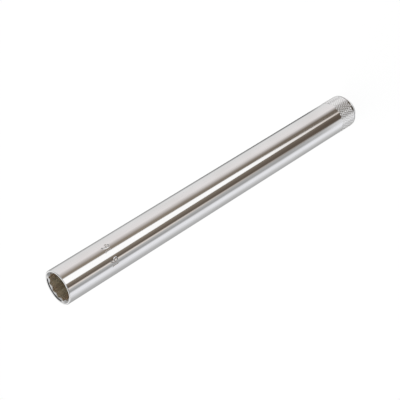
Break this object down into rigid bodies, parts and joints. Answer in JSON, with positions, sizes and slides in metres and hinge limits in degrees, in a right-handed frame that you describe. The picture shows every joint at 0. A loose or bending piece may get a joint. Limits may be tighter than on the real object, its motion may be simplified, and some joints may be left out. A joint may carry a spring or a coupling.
{
  "type": "spark plug socket",
  "caption": "Long chromed tube socket with a bi-hexagonal opening and a ring magnet for a spark plug at one end, and a square drive hole under a diamond-knurled band at the other.",
  "frame": {"origin": "centre of the drive end's face, on which the socket stands", "axes": "+Z along the tube's axis from the drive end to the plug opening, +X square to a flat of the drive hole"},
  "size_m": [0.0226, 0.0226, 0.25],
  "materials": {
    "chrome": "bright chrome plate on polished steel",
    "magnet": "dull nickel plate"
  },
  "bodies": {
    "root": {"socket_body": "chrome", "plug_magnet": "magnet"}
  },
  "joints": []
}
